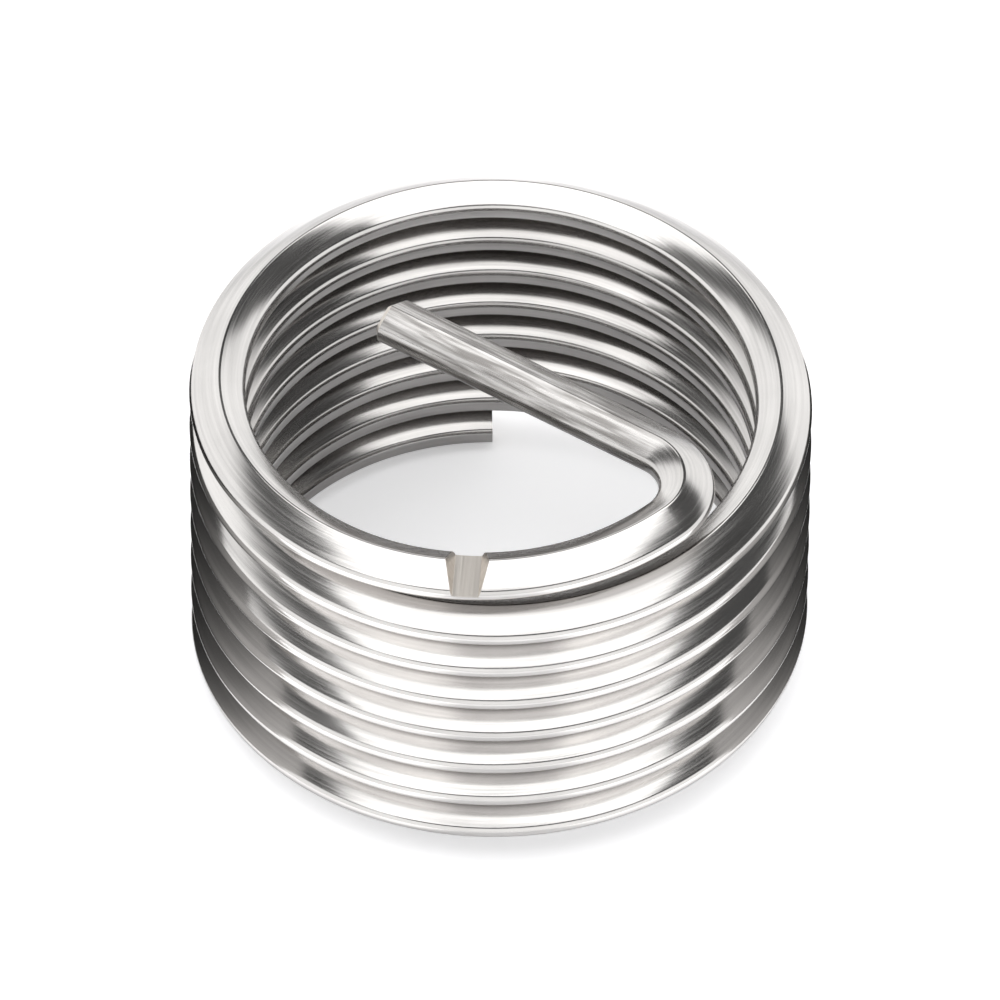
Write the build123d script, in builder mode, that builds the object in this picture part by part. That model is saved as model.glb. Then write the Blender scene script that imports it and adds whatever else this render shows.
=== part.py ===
"""Helical thread insert for an M14 x 1.25 thread, wound from one piece of diamond wire.

The coil is a right-hand helix of rolled wire. Its outer edge is the thread that grips
the oversize tapped hole, and its inner edge is the thread that takes the screw. The
insert stands on its free end, with the driving tang across the bore at the top.

Frame: millimetres, Z up along the coil's axis, Z = 0 under the lowest turn, and the
free end of the wire on the +Y side. Angles are counter-clockwise from +X, seen from
above, and a swept angle is counted along the wire from its free end.
"""

import os
from math import radians, sqrt

from build123d import *

# Thread
PITCH = 1.25
COIL_DIAMETER = 16.5  # over the outer edge, before the insert is wound into its hole

# Wire section: two 60 degree threads back to back, with their crests cut off flat
FLANK_SLOPE = 1 / sqrt(3)  # rise for each unit of run of a flank at 30 degrees
WIRE_HEIGHT = 0.95 * PITCH  # over the top and bottom ridges
OUTER_FLAT = 0.2 * PITCH
INNER_FLAT = 0.325 * PITCH
OUTER_RUN = (WIRE_HEIGHT - OUTER_FLAT) / 2 / FLANK_SLOPE  # ridge to outer edge
INNER_RUN = (WIRE_HEIGHT - INNER_FLAT) / 2 / FLANK_SLOPE  # ridge to inner edge
SECTION = [  # about the wire's middle: x runs inwards and y runs up
    (-OUTER_RUN, OUTER_FLAT / 2),
    (0, WIRE_HEIGHT / 2),
    (INNER_RUN, INNER_FLAT / 2),
    (INNER_RUN, -INNER_FLAT / 2),
    (0, -WIRE_HEIGHT / 2),
    (-OUTER_RUN, -OUTER_FLAT / 2),
]

# Coil, along the wire's middle, which is the line between its two ridges
COIL_RADIUS = COIL_DIAMETER / 2 - OUTER_RUN
FREE_END_ANGLE = 90.0
FULL_SWEEP = 2605.5  # at full radius: seven turns and a quarter
LEAD_SWEEP = 135.0  # the last part draws in, as a smaller turn that is off the axis
LEAD_OFFSET = 0.41
LEAD_RADIUS = COIL_RADIUS - LEAD_OFFSET

# Tang
TANG_HEADING = 144.7
TANG_STRAIGHT = 8.43
BEND_RADIUS = 1.6
BEND_SPANS = 8
TIP_LENGTH = 0.12
TIP_SCALE = 0.8

# Notch where the tang breaks off, cut down into the wire's top
NOTCH_SHARE = 0.66  # of the way along the lead
NOTCH_TOP_WIDTH = 1.16
NOTCH_FLOOR_WIDTH = 0.70
NOTCH_DEPTH = 0.56


def level(direction):
    """The direction laid flat, as a unit vector."""
    return Vector(direction.X, direction.Y, 0).normalized()


def upright_plane(point, heading):
    """Upright plane across the wire, for its section."""
    return Plane(origin=point, x_dir=level(heading).rotate(Axis.Z, 90), z_dir=level(heading))


# The wire's middle: the full turns, then the turn that draws in
full_turns = Helix(PITCH, PITCH * FULL_SWEEP / 360, COIL_RADIUS)
full_turns = full_turns.rotate(Axis.Z, FREE_END_ANGLE).moved(Location((0, 0, WIRE_HEIGHT / 2)))
lead_start = full_turns @ 1
lead_angle = FREE_END_ANGLE + FULL_SWEEP
lead_shift = Vector(LEAD_OFFSET, 0, lead_start.Z).rotate(Axis.Z, lead_angle)
lead_turn = Helix(PITCH, PITCH * LEAD_SWEEP / 360, LEAD_RADIUS)
lead_turn = lead_turn.rotate(Axis.Z, lead_angle).moved(Location(lead_shift))

# The bend turns the wire from the coil's heading to the tang's
bend_start = lead_turn @ 1
bend_heading = lead_turn % 1
tang_heading = Vector(1, 0, 0).rotate(Axis.Z, TANG_HEADING)
bend_turn = level(bend_heading).get_angle(tang_heading)
bend_climb = BEND_RADIUS * radians(bend_turn) * bend_heading.Z
bend_spoke = level(bend_heading).rotate(Axis.Z, -90) * BEND_RADIUS


def bend_point(share):
    """Point on the bend, whose climb eases off to the level tang."""
    spoke = bend_spoke.rotate(Axis.Z, bend_turn * share)
    climb = Vector(0, 0, bend_climb * (share - share**2 / 2))
    return bend_start - bend_spoke + spoke + climb


with BuildLine() as bend_path:
    Spline(
        [bend_point(i / BEND_SPANS) for i in range(BEND_SPANS + 1)],
        tangents=(bend_heading, tang_heading),
    )
tang_path = Line(bend_point(1), bend_point(1) + tang_heading * TANG_STRAIGHT)

with BuildPart() as insert_wire:
    for path in (full_turns, lead_turn):
        with BuildSketch(upright_plane(path @ 0, path % 0)):
            Polygon(*SECTION, align=None)
        sweep(path=path, is_frenet=True)

    # A copy of the bend straight above it keeps the section upright all the way
    with BuildSketch(upright_plane(bend_start, bend_heading)):
        Polygon(*SECTION, align=None)
    sweep(path=bend_path.wire(), binormal=bend_path.wire().moved(Location((0, 0, PITCH))))
    with BuildSketch(upright_plane(tang_path @ 0, tang_heading)):
        Polygon(*SECTION, align=None)
    extrude(amount=TANG_STRAIGHT)

    # The shear leaves the tip of the tang drawn down a little
    tip_plane = upright_plane(tang_path @ 1, tang_heading)
    with BuildSketch(tip_plane):
        Polygon(*SECTION, align=None)
    with BuildSketch(tip_plane.offset(TIP_LENGTH)):
        Polygon(*SECTION, align=None)
        scale(by=TIP_SCALE)
    loft()

    # Notch: its profile's x runs along the wire, and the cut runs across the wire
    notch_heading = level(lead_turn % NOTCH_SHARE)
    notch_plane = Plane(
        origin=lead_turn @ NOTCH_SHARE,
        x_dir=notch_heading,
        z_dir=notch_heading.rotate(Axis.Z, -90),
    )
    floor_height = WIRE_HEIGHT / 2 - NOTCH_DEPTH
    mouth_height = floor_height + 2 * NOTCH_DEPTH  # clear of the wire's top
    mouth_width = NOTCH_FLOOR_WIDTH + 2 * (NOTCH_TOP_WIDTH - NOTCH_FLOOR_WIDTH)
    with BuildSketch(notch_plane):
        Polygon(
            (-NOTCH_FLOOR_WIDTH / 2, floor_height),
            (NOTCH_FLOOR_WIDTH / 2, floor_height),
            (mouth_width / 2, mouth_height),
            (-mouth_width / 2, mouth_height),
            align=None,
        )
    extrude(amount=OUTER_RUN + INNER_RUN, both=True, mode=Mode.SUBTRACT)

insert_wire.part.label = "insert_wire"

os.makedirs("parts", exist_ok=True)
export_step(insert_wire.part, "parts/insert_wire.step")

wire_length = sum(path.length for path in (full_turns, lead_turn, bend_path.wire(), tang_path))
print("wire length", round(wire_length, 2), "mm, bend", round(bend_turn, 2), "degrees")
print("volume", round(insert_wire.part.volume, 2), "mm3")
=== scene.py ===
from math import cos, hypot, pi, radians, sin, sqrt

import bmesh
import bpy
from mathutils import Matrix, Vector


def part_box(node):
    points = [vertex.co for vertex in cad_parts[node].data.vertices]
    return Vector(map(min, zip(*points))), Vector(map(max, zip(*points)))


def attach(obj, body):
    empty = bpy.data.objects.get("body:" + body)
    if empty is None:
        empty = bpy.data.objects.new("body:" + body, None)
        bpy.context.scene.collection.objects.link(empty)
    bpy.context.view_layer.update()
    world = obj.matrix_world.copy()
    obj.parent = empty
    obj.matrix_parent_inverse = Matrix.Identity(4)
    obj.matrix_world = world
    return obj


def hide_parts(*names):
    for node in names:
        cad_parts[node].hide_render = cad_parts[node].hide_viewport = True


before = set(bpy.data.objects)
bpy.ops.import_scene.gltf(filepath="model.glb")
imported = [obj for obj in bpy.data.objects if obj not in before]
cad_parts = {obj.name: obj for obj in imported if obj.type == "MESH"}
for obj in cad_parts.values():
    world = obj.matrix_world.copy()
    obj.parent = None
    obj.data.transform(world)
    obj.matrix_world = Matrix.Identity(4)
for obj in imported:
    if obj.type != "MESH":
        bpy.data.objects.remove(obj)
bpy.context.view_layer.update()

# %% [markdown]
# # A helical thread insert
# This part is a coil of rolled wire that lines a tapped hole. Its outer edge is the
# thread that grips the hole, and its inner edge is the thread that takes the screw.
# A straight tang across the bore winds the coil in, and a notch lets the tang be
# broken off afterwards. It is one wire from end to end, so the whole object is one
# mesh: a profile that is drawn once and then carried along the wire, as in a rolling
# mill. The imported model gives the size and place, in metres.

wire_low, wire_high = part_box("insert_wire")
scene = bpy.context.scene
print("packed model, mm:", [round(1000 * side, 3) for side in wire_high - wire_low])

# %% [markdown]
# ## The wire's profile
# The wire is rolled to a diamond: two 60 degree threads, back to back. The outer point
# is cut off narrow and the inner point wide, as thread crests are. Working in
# millimetres keeps the numbers close to a drawing, and one scaling at the end takes
# the mesh to metres. Everything follows from the pitch and the coil's width.

# %% Sizes of the wire, in millimetres
MM = 0.001
PITCH = 1.25
COIL_WIDTH = (wire_high.x - wire_low.x) / MM
FLANK_SLOPE = 1 / sqrt(3)  # a flank lies at 30 degrees
WIRE_HEIGHT = 0.95 * PITCH
OUTER_FLAT = 0.2 * PITCH
INNER_FLAT = 0.325 * PITCH
OUTER_RUN = (WIRE_HEIGHT - OUTER_FLAT) / 2 / FLANK_SLOPE
INNER_RUN = (WIRE_HEIGHT - INNER_FLAT) / 2 / FLANK_SLOPE
COIL_RADIUS = COIL_WIDTH / 2 - OUTER_RUN  # of the ridge, the wire's middle
print("wire", round(WIRE_HEIGHT, 3), "mm high, coil radius", round(COIL_RADIUS, 3), "mm")

# %% [markdown]
# ## The route of the wire
# Seven turns and a quarter run at full radius. Then the wire draws in a little on a
# smaller circle whose middle is off the axis, turns sharply, and crosses the bore as
# the tang. Each stretch is a circle or a line, so the spin and extrude operators can
# make all of it, and each starts where the one before ends.

# %% Sizes of the route
FREE_END_ANGLE = 90.0
FULL_SWEEP = 2605.5
LEAD_SWEEP = 135.0
LEAD_OFFSET = 0.41
TANG_HEADING = 144.7
TANG_STRAIGHT = 8.43
BEND_RADIUS = 1.6
TIP_LENGTH = 0.12
TIP_SCALE = 0.8
LEAD_RADIUS = COIL_RADIUS - LEAD_OFFSET


def turned(length, angle):
    """A flat vector of that length, at that angle in degrees from +X."""
    return Vector((length * cos(radians(angle)), length * sin(radians(angle)), 0))


lead_angle = FREE_END_ANGLE + FULL_SWEEP
lead_centre = turned(LEAD_OFFSET, lead_angle)
bend_angle = lead_angle + LEAD_SWEEP
bend_start = lead_centre + turned(LEAD_RADIUS, bend_angle)
bend_centre = bend_start + turned(BEND_RADIUS, bend_angle + 180)
bend_turn = (TANG_HEADING - (bend_angle + 90)) % 360
print("bend turns the wire by", round(bend_turn, 1), "degrees")

# %% [markdown]
# ## Rolling the profile
# The six corners are laid out at the free end and joined as one face. Rolled wire has
# no knife edges, so a bevel rounds the corners: the crests almost all the way across,
# and the two ridges only a little. A corner can be rounded by less than half of the
# flat beside it. Each point remembers how far round the profile it lies, which the
# finish needs later, because the rolling marks run along the wire.

# %% Profile at the free end
RIDGE_ROUND = 0.05
OUTER_ROUND = 0.115
INNER_ROUND = 0.12
ROUND_SEGMENTS = 5
PROFILE = [  # inwards and up from the wire's middle, and the rounding
    (-OUTER_RUN, OUTER_FLAT / 2, OUTER_ROUND),
    (0, WIRE_HEIGHT / 2, RIDGE_ROUND),
    (INNER_RUN, INNER_FLAT / 2, INNER_ROUND),
    (INNER_RUN, -INNER_FLAT / 2, INNER_ROUND),
    (0, -WIRE_HEIGHT / 2, RIDGE_ROUND),
    (-OUTER_RUN, -OUTER_FLAT / 2, OUTER_ROUND),
]
wire = bmesh.new()
around_layer = wire.verts.layers.float.new("around")
corners = []
for inward, upward, _ in PROFILE:
    place = Vector((0, COIL_RADIUS - inward, WIRE_HEIGHT / 2 + upward))
    corners.append(wire.verts.new(place))
wire.faces.new(corners)
for (_, _, size), corner in zip(PROFILE, list(corners)):
    bmesh.ops.bevel(
        wire,
        geom=[corner],
        offset=size,
        offset_type="OFFSET",
        segments=ROUND_SEGMENTS,
        profile=0.5,
        affect="VERTICES",
        material=-1,
    )
free_end = wire.faces[:][0]
distance = 0.0
for loop in free_end.loops:
    loop.vert[around_layer] = distance
    distance += loop.edge.calc_length()
GIRTH = distance
by_height = sorted(free_end.verts, key=lambda vert: vert.co.z)
lower_ridge = by_height[0][around_layer]
upper_ridge = by_height[-1][around_layer]
profile_count = len(free_end.verts)
print("profile has", profile_count, "points and a girth of", round(GIRTH, 3), "mm")

# %% [markdown]
# ## Carrying the profile
# A coil could be a curve with a bevel profile, but that twists and thins where the wire
# bends sharply. Spin with a rise at each step is a screw, and keeps the profile upright
# and square to the wire, also in the bend. Two degrees a step keeps the outline round
# from close up. Extrude does the same along a line. Each ring of points keeps its length
# along the wire, so that length and distance round the profile make a map of the surface.

# %% Spin, extrude and measure
STEP = 2.0  # degrees
turn_rise = PITCH / (2 * pi)  # for each radian
turn_length = 2 * pi * hypot(COIL_RADIUS, turn_rise)
along_layer = wire.verts.layers.float.new("along")
around_layer = wire.verts.layers.float["around"]  # a new layer moves the older ones


def only(kind, parts):
    """The parts of one kind, such as edges, from an operator's result."""
    return [part for part in parts if isinstance(part, kind)]


def mark_length(first, start, step):
    """Note the length along the wire of the rings made since vertex number first."""
    for number, vert in enumerate(wire.verts[first:]):
        vert[along_layer] = start + step * (number // profile_count + 1)
    return start + step * ((len(wire.verts) - first) // profile_count)


def spin_wire(edges, centre, sweep, steps, rise):
    """Carry the profile round a centre, and return its edges at the far end."""
    made = bmesh.ops.spin(
        wire,
        geom=edges,
        cent=centre,
        axis=(0, 0, 1),
        dvec=(0, 0, rise / steps),
        angle=radians(sweep),
        steps=steps,
        use_merge=False,
    )
    return only(bmesh.types.BMEdge, made["geom_last"])


def extrude_wire(edges, move):
    """Draw the profile on by a vector, and return its edges at the far end."""
    made = bmesh.ops.extrude_edge_only(wire, edges=edges)["geom"]
    verts = set(only(bmesh.types.BMVert, made))
    bmesh.ops.translate(wire, verts=list(verts), vec=move)
    return [edge for edge in only(bmesh.types.BMEdge, made) if set(edge.verts) <= verts]


print("one turn takes", round(turn_length, 2), "mm of wire")

# %% [markdown]
# ## Drawing in, bending and the tang
# The top of the coil is made first, from a copy of the profile that is seven turns up.
# One spin ends the last full turn, the next one, about a centre off the axis, draws the
# wire in, and the third makes the bend, along which the climb dies out. The tang is then
# extruded, straight and level, and its tip is a little smaller, where the shear closed
# on it.

# %% From the seventh turn to the tip
STACKED_TURNS = 7
BEND_STEPS = 36
TANG_PIECES = 16
profile_parts = [free_end, *free_end.edges, *free_end.verts]
copied = bmesh.ops.duplicate(wire, geom=profile_parts)["geom"]
rim = only(bmesh.types.BMEdge, copied)
copied_verts = only(bmesh.types.BMVert, copied)
route_length = STACKED_TURNS * turn_length
for vert in copied_verts:
    vert[along_layer] = route_length
bmesh.ops.translate(wire, verts=copied_verts, vec=(0, 0, STACKED_TURNS * PITCH))
bmesh.ops.delete(wire, geom=only(bmesh.types.BMFace, copied), context="FACES_ONLY")

last_sweep = FULL_SWEEP - 360 * STACKED_TURNS
last_rise = turn_rise * radians(last_sweep)
lead_rise = turn_rise * radians(LEAD_SWEEP)
bend_rise = turn_rise / LEAD_RADIUS * BEND_RADIUS * radians(bend_turn) / 2
for centre, radius, sweep, steps, rise in (
    (Vector(), COIL_RADIUS, last_sweep, round(last_sweep / STEP), last_rise),
    (lead_centre, LEAD_RADIUS, LEAD_SWEEP, round(LEAD_SWEEP / STEP), lead_rise),
    (bend_centre, BEND_RADIUS, bend_turn, BEND_STEPS, bend_rise),
):
    first = len(wire.verts)
    rim = spin_wire(rim, centre, sweep, steps, rise)
    route_length = mark_length(first, route_length, radius * radians(sweep) / steps)

tang_from = route_length
heading = turned(1, TANG_HEADING)
for length in [TANG_STRAIGHT / TANG_PIECES] * TANG_PIECES + [TIP_LENGTH]:
    first = len(wire.verts)
    rim = extrude_wire(rim, heading * length)
    route_length = mark_length(first, route_length, length)
tip_verts = list({vert for edge in rim for vert in edge.verts})
tip_middle = sum((vert.co for vert in tip_verts), Vector()) / len(tip_verts)
bmesh.ops.scale(
    wire, verts=tip_verts, vec=(TIP_SCALE,) * 3, space=Matrix.Translation(-tip_middle)
)
tip_end = bmesh.ops.contextual_create(wire, geom=rim)["faces"][0]
tip_ring = {face for edge in rim for face in edge.link_faces if face != tip_end}
print("wire", round(route_length, 1), "mm long, tip at", [round(x, 2) for x in tip_middle])

# %% [markdown]
# ## Stacking the turns
# All the full turns are alike, so one is spun from the free end, copied six times, each
# copy a pitch higher, and the seams are merged. That takes a moment, where one long
# spin would take most of a minute.

# %% Seven full turns
SEAM_GAP = 2e-4  # points closer than this are one
turn_steps = round(360 / STEP)
first = len(wire.verts)
spin_wire(list(free_end.edges), (0, 0, 0), 360, turn_steps, PITCH)
mark_length(first, 0.0, turn_length / turn_steps)
turn_verts = set(wire.verts[first:]) | set(free_end.verts)
turn_faces = [
    face for face in wire.faces if face != free_end and set(face.verts) <= turn_verts
]
turn_parts = set(turn_faces)
for face in turn_faces:
    turn_parts.update(face.edges)
    turn_parts.update(face.verts)
for turn in range(1, STACKED_TURNS):
    copied = bmesh.ops.duplicate(wire, geom=list(turn_parts))["geom"]
    verts = only(bmesh.types.BMVert, copied)
    bmesh.ops.translate(wire, verts=verts, vec=(0, 0, turn * PITCH))
    for vert in verts:
        vert[along_layer] += turn * turn_length
bmesh.ops.remove_doubles(wire, verts=wire.verts, dist=SEAM_GAP)
print("coil:", len(wire.faces), "faces")

# %% [markdown]
# ## Where the notch is
# The notch goes down into the wire's top half, where the tang is to break off. It has
# two sloping walls and a level floor, and lies square across the wire, so three planes
# describe it.

# %% Planes of the notch
NOTCH_SHARE = 0.66  # of the way along the stretch that draws in
NOTCH_TOP_WIDTH = 1.16
NOTCH_FLOOR_WIDTH = 0.70
NOTCH_DEPTH = 0.56

notch_sweep = LEAD_SWEEP * NOTCH_SHARE
notch_point = lead_centre + turned(LEAD_RADIUS, lead_angle + notch_sweep)
notch_point.z = WIRE_HEIGHT / 2 + PITCH * (FULL_SWEEP + notch_sweep) / 360
notch_heading = turned(1, lead_angle + notch_sweep + 90)
notch_floor = notch_point.z + WIRE_HEIGHT / 2 - NOTCH_DEPTH
wall_lean = (NOTCH_TOP_WIDTH - NOTCH_FLOOR_WIDTH) / 2 / NOTCH_DEPTH
up = Vector((0, 0, 1))
floor_middle = Vector((notch_point.x, notch_point.y, notch_floor))
planes = [(floor_middle, up)]
for side in (-1, 1):
    foot = floor_middle + notch_heading * side * NOTCH_FLOOR_WIDTH / 2
    planes.append((foot, (notch_heading * side - up * wall_lean).normalized()))
print("notch at", [round(x, 2) for x in notch_point], "with its floor at", round(notch_floor, 2))

# %% [markdown]
# ## Cutting the notch
# A boolean with a wedge would cut it too. Planes show every step: each one slices the
# faces nearby, the pieces that fall inside the notch are deleted, and each plane's
# opening is closed with one new flat face. The new faces are kept in a list, because
# sheared metal gets its own finish.

# %% Cutting the notch
NEARBY = 1.6  # around the notch, only the wire's own turn is cut
BELOW = 0.62  # how far under the wire's middle that turn reaches
NEAR = 1e-4
ON_PLANE = 5 * NEAR


def is_nearby(place):
    """Whether a place is on the notch's own turn, close to the notch."""
    return (place - notch_point).length < NEARBY and place.z > notch_point.z - BELOW


def height_over(plane, place):
    """How far a place is beyond a plane, on the side its normal points to."""
    return (place - plane[0]).dot(plane[1])


def in_notch(place):
    """Whether a place is inside the notch's three planes."""
    return (
        is_nearby(place)
        and height_over(planes[0], place) > NEAR
        and height_over(planes[1], place) < -NEAR
        and height_over(planes[2], place) < -NEAR
    )


for point, normal in planes:
    close_faces = [face for face in wire.faces if is_nearby(face.calc_center_median())]
    close = set(close_faces)
    close.update(edge for face in close_faces for edge in face.edges)
    close.update(vert for face in close_faces for vert in face.verts)
    bmesh.ops.bisect_plane(
        wire, geom=list(close), dist=NEAR, plane_co=point, plane_no=normal
    )
fallen = [face for face in wire.faces if in_notch(face.calc_center_median())]
bmesh.ops.delete(wire, geom=fallen, context="FACES")

open_edges = [edge for edge in wire.edges if edge.is_boundary]
open_verts = {vert for edge in open_edges for vert in edge.verts}
for wall in planes[1:]:
    foot_verts = [
        vert
        for vert in open_verts
        if abs(height_over(wall, vert.co)) < ON_PLANE
        and abs(height_over(planes[0], vert.co)) < ON_PLANE
    ]
    bmesh.ops.contextual_create(wire, geom=foot_verts)
open_edges = [edge for edge in wire.edges if edge.is_boundary or edge.is_wire]
cut_faces = []
for plane in planes:
    outline = [
        edge
        for edge in open_edges
        if all(abs(height_over(plane, vert.co)) < ON_PLANE for vert in edge.verts)
    ]
    cut_faces += bmesh.ops.contextual_create(wire, geom=outline)["faces"]
print("notch:", len(fallen), "pieces taken out,", len(cut_faces), "faces closed")

# %% [markdown]
# ## Sharp edges and a map
# The two end faces are sheared metal like the notch, and all these faces have sharp
# edges. The length along the wire and the distance round its profile become UVs, so that
# marks can follow the wire all the way. Sheared faces get places of their own on that
# map, where it is clean, so that their lines run the way the blade went.

# %% Smooth and sharp edges, and UVs
CUT_FACES = 1  # material slot of the cut faces
CLEAN_MAP = 330.0  # millimetres along the map, where there is no film and no scrape
LEVEL = 0.9  # upward part of a normal, over which a face counts as level
cut_faces += [free_end, tip_end]
for face in wire.faces:
    face.smooth = True
for face in cut_faces:
    face.material_index = CUT_FACES
    face.smooth = False
    for edge in face.edges:
        edge.smooth = False
for face in tip_ring:
    face.material_index = CUT_FACES
    for edge in face.edges:
        edge.smooth = set(edge.link_faces) <= tip_ring
bmesh.ops.recalc_face_normals(wire, faces=wire.faces)
wire_map = wire.loops.layers.uv.new("wire_map")
for face in wire.faces:
    rounds = [vert[around_layer] for vert in face.verts]
    wraps = max(rounds) - min(rounds) > GIRTH / 2
    for loop in face.loops:
        around = loop.vert[around_layer]
        if wraps and around < GIRTH / 2:
            around += GIRTH
        loop[wire_map].uv = (loop.vert[along_layer], around)
for face in cut_faces:
    across = notch_heading if abs(face.normal.z) >= LEVEL else up.cross(face.normal)
    down = face.normal.cross(across)
    for loop in face.loops:
        place = loop.vert.co
        loop[wire_map].uv = (CLEAN_MAP + place.dot(down), place.dot(across))
for face in tip_ring:
    for loop in face.loops:
        along, around = loop[wire_map].uv
        loop[wire_map].uv = (CLEAN_MAP + around, along)
print("cut faces:", len(cut_faces), "and", len(tip_ring), "round the tip")

# %% [markdown]
# ## The finished object
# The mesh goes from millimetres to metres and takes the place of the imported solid. A
# weighted normal modifier lets the broad flanks keep their own flat shading, so that the
# rounding shows only where the wire is round.

# %% Wire object
bmesh.ops.scale(wire, verts=wire.verts, vec=(MM, MM, MM))
wire_mesh = bpy.data.meshes.new("wound_wire")
wire.to_mesh(wire_mesh)
open_left = sum(edge.is_boundary for edge in wire.edges)
wire.free()
wound_wire = bpy.data.objects.new("wound_wire", wire_mesh)
scene.collection.objects.link(wound_wire)
normals = wound_wire.modifiers.new("flat_flanks", "WEIGHTED_NORMAL")
normals.mode = "FACE_AREA"
normals.weight = 100
normals.keep_sharp = True
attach(wound_wire, "root")
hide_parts("insert_wire")
print("wire mesh:", len(wire_mesh.polygons), "faces,", open_left, "open edges")

# %% [markdown]
# ## Small tools for node trees
# The materials and the studio are built from a few kinds of node over and over: sums,
# eased changes between two values, curves and separate axes. Each has a short function
# that takes the tree, so that the cells after this one read like formulas.

# %% Functions that add nodes
def connect(tree, value, socket):
    """Put a number into a socket, or link another node's output to it."""
    if isinstance(value, bpy.types.NodeSocket):
        tree.links.new(value, socket)
    else:
        socket.default_value = value


def formula(tree, operation, *values):
    """Arithmetic on numbers and outputs, such as MULTIPLY_ADD: a times b plus c."""
    node = tree.nodes.new("ShaderNodeMath")
    node.operation = operation
    for value, socket in zip(values, node.inputs):
        connect(tree, value, socket)
    return node.outputs[0]


def ramp(tree, value, low, high, start=0.0, end=1.0, kind="SMOOTHSTEP"):
    """Go from start to end while a value goes from low to high."""
    node = tree.nodes.new("ShaderNodeMapRange")
    node.interpolation_type = kind
    for name, number in (
        ("From Min", low),
        ("From Max", high),
        ("To Min", start),
        ("To Max", end),
    ):
        node.inputs[name].default_value = number
    tree.links.new(value, node.inputs["Value"])
    return node.outputs["Result"]


def curve(tree, value, spots):
    """Read a value off a smooth curve through the places given, left to right."""
    node = tree.nodes.new("ShaderNodeFloatCurve")
    points = node.mapping.curves[0].points
    points[0].location = spots[0]
    points[-1].location = spots[-1]
    for spot in spots[1:-1]:
        points.new(*spot)
    node.mapping.update()
    tree.links.new(value, node.inputs["Value"])
    return node.outputs["Value"]


def axes(tree, vector):
    """The three parts of a vector, by their names X, Y and Z."""
    node = tree.nodes.new("ShaderNodeSeparateXYZ")
    tree.links.new(vector, node.inputs[0])
    return node.outputs


print("node functions:", [tool.__name__ for tool in (formula, ramp, curve, axes)])

# %% [markdown]
# ## Marks on the wire, as one node group
# Wire like this comes off polished rolls. It is bright and slightly warm grey, with
# fine lines along its length. The lines are noise that is stretched along the wire, at
# two scales: fine ones tilt the surface by a hair, broad ones alter its tone. Rolls also
# leave a slight waviness, so that highlights swell and shrink along a turn. Deep in the
# grooves, where one turn lies on the next, a painted shade darkens the wire, more of it
# in the bore than outside. The tang has been bent and gripped, which leaves scrapes, and
# the scrapes also carry a painted shade that darkens the tang. All of these read the map
# of length and distance round the profile.

# %% Rolling marks, painted groove shade and scrapes with painted shade
NOISES = [  # name, cells for each millimetre along and around the wire, detail
    ("Lines", 0.25, 18.0, 2.0),
    ("Streaks", 0.12, 7.0, 3.0),
    ("Patches", 0.35, 0.35, 4.0),
    ("Waves", 0.30, 1.2, 1.0),
]
GROOVE_SHADE_OUTSIDE = [  # millimetres from the ridge along a flank, and share of the painted shade
    (0.05, 0.70),
    (0.22, 0.56),
    (0.31, 0.22),
    (0.42, 0.04),
]
GROOVE_SHADE_INSIDE = [
    (0.06, 0.85),
    (0.24, 0.72),
    (0.38, 0.39),
    (0.52, 0.24),
]
PAINTED_SHADE_ON_CREST = 0.20  # painted shade on the crest inside the bore
# Scrapes on the tang; they also carry a painted shade that darkens the tang.
SCRAPES = (0.45, 7.0, 5.0)  # cells along and around, and detail
SCRAPES_BARE = 0.36  # noise up to here leaves no scrape
SCRAPES_DEEP = 0.62  # noise from here on is all scrape
SCRAPES_START = 1.5  # millimetres over which the scrapes set in, after the bend
last_covered = (FULL_SWEEP + LEAD_SWEEP - 360) / 360 * turn_length


def stretched_noise(tree, place, along, around, detail):
    """Noise with so many cells for each millimetre along and around the wire."""
    spacing = tree.nodes.new("ShaderNodeVectorMath")
    spacing.operation = "MULTIPLY"
    spacing.inputs[1].default_value = (along, around, 0)
    tree.links.new(place, spacing.inputs[0])
    noise = tree.nodes.new("ShaderNodeTexNoise")
    noise.inputs["Scale"].default_value = 1.0
    noise.inputs["Detail"].default_value = detail
    tree.links.new(spacing.outputs[0], noise.inputs["Vector"])
    return noise.outputs["Fac"]


def painted_shade_round_profile():
    """Share of the painted shade at places round the profile, as shares of its girth."""
    middle = (upper_ridge + lower_ridge) / 2 / GIRTH
    spots = {0.0: 0.0, 1.0: 0.0, middle: PAINTED_SHADE_ON_CREST}
    for ridge, inward in ((upper_ridge, 1), (lower_ridge, -1)):
        for side in (-1, 1):
            for reach, share in GROOVE_SHADE_INSIDE if side == inward else GROOVE_SHADE_OUTSIDE:
                spots[(ridge + side * reach) / GIRTH] = share
    return sorted(spots.items())


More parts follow.
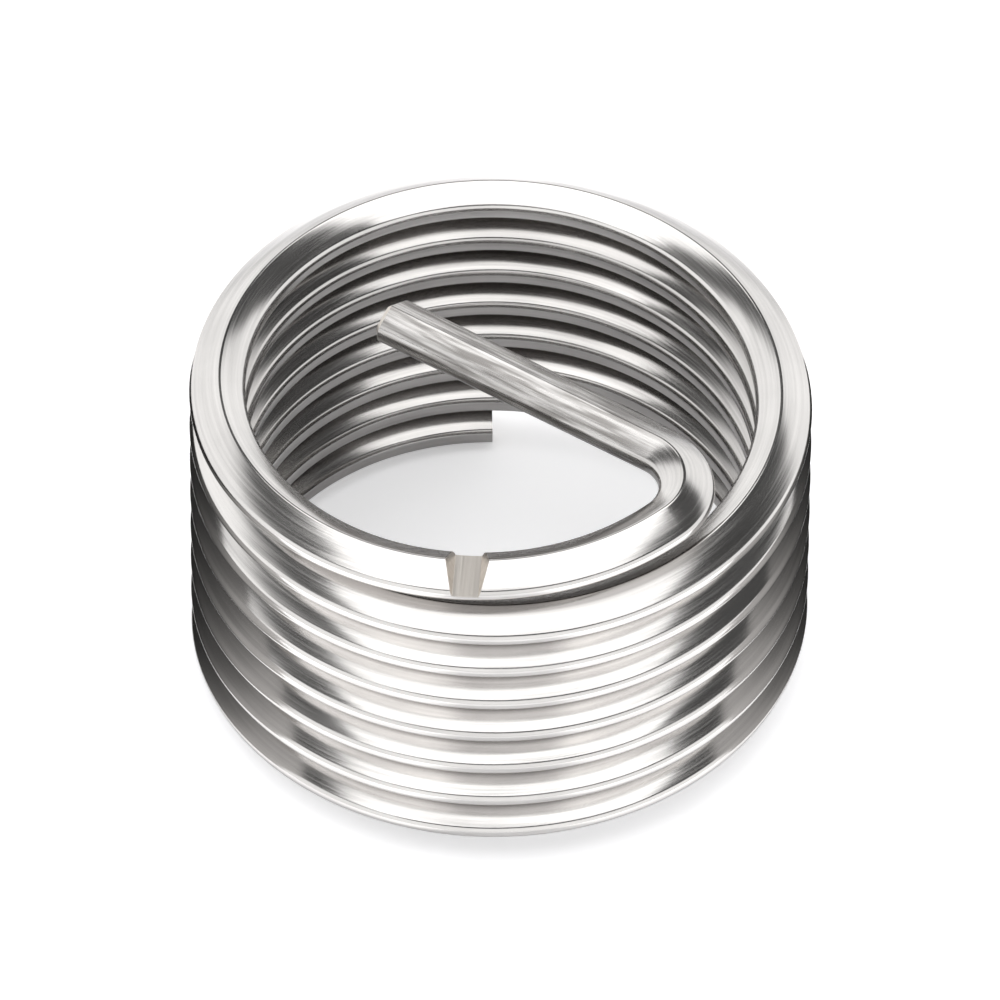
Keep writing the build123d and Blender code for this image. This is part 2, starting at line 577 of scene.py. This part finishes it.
def wire_marks_group():
    """Marks along the wire, each a mask from 0 to 1."""
    group = bpy.data.node_groups.new("wire_marks", "ShaderNodeTree")
    leave = group.nodes.new("NodeGroupOutput")
    wire_uv = group.nodes.new("ShaderNodeUVMap")
    wire_uv.uv_map = "wire_map"
    place = wire_uv.outputs["UV"]
    along, around = axes(group, place)[:2]
    marks = {name: stretched_noise(group, place, *scales) for name, *scales in NOISES}
    # Painted shade: darker towards the ridges, where one turn lies on the next, and only where
    # another turn lies above.
    turns = formula(group, "FRACT", formula(group, "DIVIDE", around, GIRTH))
    groove_shade = curve(group, turns, painted_shade_round_profile())
    covered = ramp(group, along, last_covered, last_covered + PITCH, 1.0, 0.0)
    marks["Film"] = formula(group, "MULTIPLY", groove_shade, covered)
    marks["Tang"] = ramp(group, along, tang_from - SCRAPES_START, tang_from + SCRAPES_START)
    # Scrapes on the tang, which are also a painted shade that darkens it.
    scuff_and_shade = stretched_noise(group, place, *SCRAPES)
    scuff_and_shade = ramp(group, scuff_and_shade, SCRAPES_BARE, SCRAPES_DEEP)
    marks["Scrapes"] = formula(group, "MULTIPLY", scuff_and_shade, marks["Tang"])
    for name, mark in marks.items():
        group.interface.new_socket(name=name, in_out="OUTPUT", socket_type="NodeSocketFloat")
        group.links.new(mark, leave.inputs[name])
    return group


wire_marks = wire_marks_group()
print("node group:", wire_marks.name, [item.name for item in wire_marks.interface.items_tree])

# %% [markdown]
# ## Rolled surface and cut surface
# The tone wanders between a darker and a lighter grey with the patches and streaks, and
# a painted shade darkens it in the grooves. The tang's scrapes darken it too, partly as
# wear and partly as painted shade. The sheared faces are rough, and they are paler
# and warmer than the rolled ones.

# %% Two stainless surfaces
TONE_RANGE = (0.75, 1.25)  # sum of patches and streaks, from dark to light
LINE_RANGE = (0.3, 0.7)  # lines, from smooth to rough
# Colour of the painted shade in the grooves, and of the tang's scrapes with their painted shade.
SCRAPE_AND_SHADE_COLOUR = (0.095, 0.084, 0.075)
# How far the scrapes darken the tang, partly as wear and partly as painted shade.
SCRAPE_AND_PAINTED_SHADE = 0.66
TANG_DULLNESS = 0.12  # added to the roughness of the tang


def blend(tree, kind, share, first, second):
    """A mix of two colours or two numbers, first at share 0 and second at 1."""
    node = tree.nodes.new("ShaderNodeMix")
    node.data_type = kind
    connect(tree, share, node.inputs["Factor"])
    connect(tree, first, node.inputs["A"])
    connect(tree, second, node.inputs["B"])
    return node.outputs["Result"]


def bump(tree, height, depth, under=None):
    """Tilt the surface by a mark that is so many millimetres deep."""
    node = tree.nodes.new("ShaderNodeBump")
    node.inputs["Distance"].default_value = depth * MM
    tree.links.new(height, node.inputs["Height"])
    if under:
        tree.links.new(under, node.inputs["Normal"])
    return node.outputs["Normal"]


def steel(name, dark, light, rough_low, rough_high, line_depth, wave_depth):
    """Stainless steel whose colour, roughness and slope follow the wire's marks."""
    material = bpy.data.materials.new(name)
    material.use_nodes = True
    tree = material.node_tree
    shader = tree.nodes["Principled BSDF"]
    group = tree.nodes.new("ShaderNodeGroup")
    group.node_tree = wire_marks
    marks = group.outputs
    both = formula(tree, "ADD", marks["Patches"], marks["Streaks"])
    share = ramp(tree, both, *TONE_RANGE, kind="LINEAR")
    tone = blend(tree, "RGBA", share, (*dark, 1), (*light, 1))
    # The painted shade in the grooves and the tang's scrapes, which carry painted shade too,
    # darken the colour.
    wear_and_shade = formula(tree, "MULTIPLY_ADD", marks["Scrapes"], SCRAPE_AND_PAINTED_SHADE, marks["Film"])
    colour = blend(tree, "RGBA", wear_and_shade, tone, (*SCRAPE_AND_SHADE_COLOUR, 1))
    rough = ramp(tree, marks["Lines"], *LINE_RANGE, rough_low, rough_high, kind="LINEAR")
    rough = formula(tree, "MULTIPLY_ADD", marks["Tang"], TANG_DULLNESS, rough)
    waves = bump(tree, marks["Waves"], wave_depth)
    normal = bump(tree, marks["Lines"], line_depth, waves)
    shader.inputs["Metallic"].default_value = 1.0
    tree.links.new(colour, shader.inputs["Base Color"])
    tree.links.new(rough, shader.inputs["Roughness"])
    tree.links.new(normal, shader.inputs["Normal"])
    return material


rolled_stainless = steel(
    "rolled_stainless",
    dark=(0.56, 0.546, 0.534),
    light=(0.70, 0.683, 0.667),
    rough_low=0.12,
    rough_high=0.21,
    line_depth=0.0006,
    wave_depth=0.02,
)
sheared_stainless = steel(
    "sheared_stainless",
    dark=(0.68, 0.63, 0.575),
    light=(0.82, 0.78, 0.73),
    rough_low=0.34,
    rough_high=0.46,
    line_depth=0.002,
    wave_depth=0.03,
)
wire_mesh.materials.append(rolled_stainless)
wire_mesh.materials.append(sheared_stainless)
print("materials:", [material.name for material in wire_mesh.materials])

# %% [markdown]
# ## The sheet in the steel
# The insert stands on a plain white sheet. To the camera it gives off a little light of
# its own, evenly. In the steel it is seen as a table that isn't lit evenly: dark inside
# the coil, bright in front, dimmer beside it and almost gone far behind. Close in front,
# towards the camera, it is dark too, which the grooves that face the camera need to show.

# %% Glow of the sheet
FLOOR_GLOW = 0.40
STEEL_GLOW = 1.4  # the sheet as the steel mirrors it, at its brightest
GLOW_START = 0.0085  # metres from the axis: inside the coil the sheet is dark
GLOW_FULL = 0.0105
GLOW_SPAN = 0.1  # metres behind and in front of the axis
GLOW_SHARES = [  # metres behind the axis, and share of the glow
    (-0.1, 1.0),
    (-0.028, 1.0),
    (-0.021, 0.54),
    (0.046, 0.54),
    (0.08, 0.06),
    (0.1, 0.06),
]
SHADE_NARROW = 7.0  # degrees from straight ahead, where the camera stands
SHADE_WIDE = 22.0
SHADE_FADES = 0.019  # metres from the axis
SHADE_ENDS = 0.025
SHADE_LEFT = 0.28  # share of the glow that is left past the shade's end


def glow_strength(tree):
    """The sheet's light: one value for the camera, and another for reflections."""
    place = tree.nodes.new("ShaderNodeTexCoord").outputs["Object"]
    reach = tree.nodes.new("ShaderNodeVectorMath")
    reach.operation = "LENGTH"
    tree.links.new(place, reach.inputs[0])
    reach = reach.outputs["Value"]
    heading = tree.nodes.new("ShaderNodeVectorMath")
    heading.operation = "NORMALIZE"
    tree.links.new(place, heading.inputs[0])
    ahead = axes(tree, heading.outputs[0])["Y"]
    narrow, wide = -cos(radians(SHADE_NARROW)), -cos(radians(SHADE_WIDE))
    aside = ramp(tree, ahead, narrow, wide)
    past = ramp(tree, reach, SHADE_FADES, SHADE_ENDS, 0.0, SHADE_LEFT)
    unshaded = formula(tree, "MAXIMUM", aside, past)
    outside = ramp(tree, reach, GLOW_START, GLOW_FULL)
    behind = axes(tree, place)["Y"]
    depth = ramp(tree, behind, -GLOW_SPAN, GLOW_SPAN, kind="LINEAR")
    shares = curve(tree, depth, [(0.5 + y / GLOW_SPAN / 2, share) for y, share in GLOW_SHARES])
    glow = formula(tree, "MULTIPLY", formula(tree, "MULTIPLY", outside, shares), unshaded)
    path = tree.nodes.new("ShaderNodeLightPath").outputs
    mirrored = formula(tree, "MULTIPLY", path["Is Glossy Ray"], glow)
    in_steel = formula(tree, "MULTIPLY", mirrored, STEEL_GLOW)
    return formula(tree, "MULTIPLY_ADD", path["Is Camera Ray"], FLOOR_GLOW, in_steel)


print("glow:", FLOOR_GLOW, "to the camera and up to", STEEL_GLOW, "in the steel")

# %% [markdown]
# ## Floor
# The sheet itself is matt, so it keeps the soft shadow under the coil. Its glow comes
# from an emission that is added to the matt white.

# %% White sheet
FLOOR_SIZE = 1.6  # metres
SHEET_COLOUR = (0.90, 0.90, 0.915, 1)


def white_sheet():
    """Matt white, with a glow that only the camera and reflections see."""
    material = bpy.data.materials.new("white_sheet")
    material.use_nodes = True
    tree = material.node_tree
    tree.nodes.clear()
    matt = tree.nodes.new("ShaderNodeBsdfDiffuse")
    matt.inputs["Color"].default_value = SHEET_COLOUR
    glow = tree.nodes.new("ShaderNodeEmission")
    tree.links.new(glow_strength(tree), glow.inputs["Strength"])
    both = tree.nodes.new("ShaderNodeAddShader")
    tree.links.new(matt.outputs[0], both.inputs[0])
    tree.links.new(glow.outputs[0], both.inputs[1])
    out = tree.nodes.new("ShaderNodeOutputMaterial")
    tree.links.new(both.outputs[0], out.inputs["Surface"])
    return material


sheet = bmesh.new()
bmesh.ops.create_grid(sheet, x_segments=1, y_segments=1, size=FLOOR_SIZE / 2)
bmesh.ops.translate(sheet, verts=sheet.verts, vec=(0, 0, wire_low.z))
sheet_mesh = bpy.data.meshes.new("floor")
sheet.to_mesh(sheet_mesh)
sheet.free()
sheet_mesh.materials.append(white_sheet())
floor = bpy.data.objects.new("floor", sheet_mesh)
scene.collection.objects.link(floor)
print("floor", FLOOR_SIZE, "m wide")

# %% [markdown]
# ## Studio walls
# Polished steel shows its surroundings, so the studio is what gives it its look. White
# walls stand all round, up to more than a third of the way to the zenith: a little higher
# on the left, and lower towards the back. Above them the room is dark. The sides of the
# ring catch the walls, and the dark room draws the short dark patches that make it read
# as metal. The walls are painted into the world by height, which costs no geometry.

# %% Studio walls in the world
WALL_TOP = 39.0  # degrees above the horizon
WALL_SOFTNESS = 0.04
WALL_TILT = 0.075  # the wall on the left stands a little higher
WALL_DROP = 0.13  # the walls stand lower towards the back
WALL_LIGHT = 1.28  # brightness, where a white sheet is 1
ROOM_LIGHT_LEFT = 0.10
ROOM_LIGHT_RIGHT = 0.07
ROOM_CHANGE = 0.6  # how far to each side the room's light changes
HORIZON_LIGHT = 0.88
HORIZON_REACH = 0.09  # up to here the walls are dimmer

world = bpy.data.worlds.new("studio")
world.use_nodes = True
scene.world = world
studio = world.node_tree
direction = axes(studio, studio.nodes.new("ShaderNodeTexCoord").outputs["Generated"])
tilted = formula(studio, "MULTIPLY_ADD", direction["X"], WALL_TILT, direction["Z"])
height = formula(studio, "MULTIPLY_ADD", direction["Y"], WALL_DROP, tilted)
room = ramp(
    studio, direction["X"], -ROOM_CHANGE, ROOM_CHANGE, ROOM_LIGHT_LEFT, ROOM_LIGHT_RIGHT
)
walls = ramp(studio, direction["Z"], 0.0, HORIZON_REACH, HORIZON_LIGHT, WALL_LIGHT)
top = sin(radians(WALL_TOP))
wall_edge = ramp(studio, height, top - WALL_SOFTNESS, top + WALL_SOFTNESS, 1.0, 0.0)
surroundings = blend(studio, "FLOAT", wall_edge, room, walls)
to_camera = studio.nodes.new("ShaderNodeLightPath").outputs["Is Camera Ray"]
background = studio.nodes["Background"]
background.inputs["Color"].default_value = (1, 1, 1, 1)
strength = blend(studio, "FLOAT", to_camera, surroundings, 1.0)
studio.links.new(strength, background.inputs["Strength"])
print("walls up to", WALL_TOP, "degrees")

# %% [markdown]
# ## Softbox
# One large softbox hangs overhead and lights everything softly. Flanks that face up
# mirror it as a broad white band with soft ends, so its size and height were chosen for
# where those ends fall on the ring.

# %% Softbox overhead
SOFTBOX_HEIGHT = 0.7  # metres
SOFTBOX_SPREAD = 0.64  # half width for each unit of height
SOFTBOX_DEPTH = 0.56  # half depth for each unit of height
SOFTBOX_SHIFT = -0.01  # a little to the left, for each unit of height
SOFTBOX_BACK = 0.04  # towards the back, for each unit of height
SOFTBOX_LIGHT = 1.84  # brightness, where a white sheet is 1


def softbox(name, place, width, depth, brightness):
    """A large soft lamp that faces down."""
    lamp = bpy.data.lights.new(name, "AREA")
    lamp.shape = "RECTANGLE"
    lamp.size = width
    lamp.size_y = depth
    lamp.energy = brightness * pi * width * depth
    holder = bpy.data.objects.new(name, lamp)
    scene.collection.objects.link(holder)
    holder.location = place
    return holder


overhead = softbox(
    "overhead_softbox",
    (SOFTBOX_SHIFT * SOFTBOX_HEIGHT, SOFTBOX_BACK * SOFTBOX_HEIGHT, SOFTBOX_HEIGHT),
    2 * SOFTBOX_SPREAD * SOFTBOX_HEIGHT,
    2 * SOFTBOX_DEPTH * SOFTBOX_HEIGHT,
    SOFTBOX_LIGHT,
)
print("softbox", round(overhead.data.energy, 2), "W at", SOFTBOX_HEIGHT, "m")

# %% [markdown]
# ## Cards at the sides
# A bright ring on a white sheet loses its outline. The usual answer is a dark
# card close to each side, which the steel mirrors as dark edges. These cards are curved
# round like the coil, dark where they nearly touch it and paler towards the front, and
# are seen in reflections only, so they cast no shadow.

# %% Curved cards left and right
CARD_GAP = 1.0  # from the coil, in millimetres
CARD_HEIGHT = 9.0
CARD_SEGMENTS = 96
CARD_COLOUR = (1.0, 0.98, 0.965, 1)
CARD_SHADES = [  # millimetres in front of the axis, and brightness
    (-1.0, 0.02),
    (0.5, 0.04),
    (2.0, 0.13),
    (4.5, 0.48),
    (8.0, 0.62),
]


def card_surface():
    """Shades from dark at the back to pale at the front, and is a little warm."""
    material = bpy.data.materials.new("shaded_card")
    material.use_nodes = True
    tree = material.node_tree
    tree.nodes.clear()
    place = axes(tree, tree.nodes.new("ShaderNodeTexCoord").outputs["Object"])
    front, back = CARD_SHADES[-1][0], CARD_SHADES[0][0]
    share = ramp(tree, place["Y"], -back * MM, -front * MM, kind="LINEAR")
    spots = [((ahead - back) / (front - back), bright) for ahead, bright in CARD_SHADES]
    glow = tree.nodes.new("ShaderNodeEmission")
    glow.inputs["Color"].default_value = CARD_COLOUR
    tree.links.new(curve(tree, share, spots), glow.inputs["Strength"])
    out = tree.nodes.new("ShaderNodeOutputMaterial")
    tree.links.new(glow.outputs[0], out.inputs["Surface"])
    return material


shaded_card = card_surface()
for name, side in (("card_left", -1), ("card_right", 1)):
    tube = bmesh.new()
    bmesh.ops.create_cone(
        tube,
        segments=CARD_SEGMENTS,
        radius1=COIL_WIDTH / 2 * MM,
        radius2=COIL_WIDTH / 2 * MM,
        depth=CARD_HEIGHT * MM,
    )
    middle = Vector((side * (COIL_WIDTH + CARD_GAP), 0, CARD_HEIGHT / 2))
    bmesh.ops.translate(tube, verts=tube.verts, vec=middle * MM)
    card_mesh = bpy.data.meshes.new(name)
    tube.to_mesh(card_mesh)
    tube.free()
    card_mesh.materials.append(shaded_card)
    card = bpy.data.objects.new(name, card_mesh)
    scene.collection.objects.link(card)
    card.visible_camera = False
    card.visible_diffuse = False
    card.visible_shadow = False
print("cards", CARD_HEIGHT, "mm high,", CARD_GAP, "mm from the coil")

# %% [markdown]
# ## Camera
# The camera looks down at 47 degrees from half a metre away, through a long lens, so
# that the coil shows its open bore and all its turns with little perspective.

# %% Camera
VIEW_ELEVATION = 46.9
VIEW_TURN = 268.2  # degrees round the axis, from +X
VIEW_ROLL = 0.4
VIEW_DISTANCE = 0.495  # metres
FRAME_SHARE = 0.62  # of the frame's width that the coil takes up

aim = Vector((0, 0, (wire_low.z + wire_high.z) / 2))
sight = turned(cos(radians(VIEW_ELEVATION)), VIEW_TURN)
sight.z = sin(radians(VIEW_ELEVATION))
lens = bpy.data.cameras.new("camera")
lens.sensor_width = 36.0
frame_width = (wire_high.x - wire_low.x) / FRAME_SHARE
lens.lens = lens.sensor_width * VIEW_DISTANCE / frame_width
camera = bpy.data.objects.new("camera", lens)
scene.collection.objects.link(camera)
camera.location = aim + sight * VIEW_DISTANCE
looking = (-sight).to_track_quat("-Z", "Y").to_matrix()
camera.rotation_euler = (looking @ Matrix.Rotation(radians(VIEW_ROLL), 3, "Z")).to_euler()
scene.camera = camera
scene.view_settings.view_transform = "Standard"
print("lens", round(lens.lens), "mm")
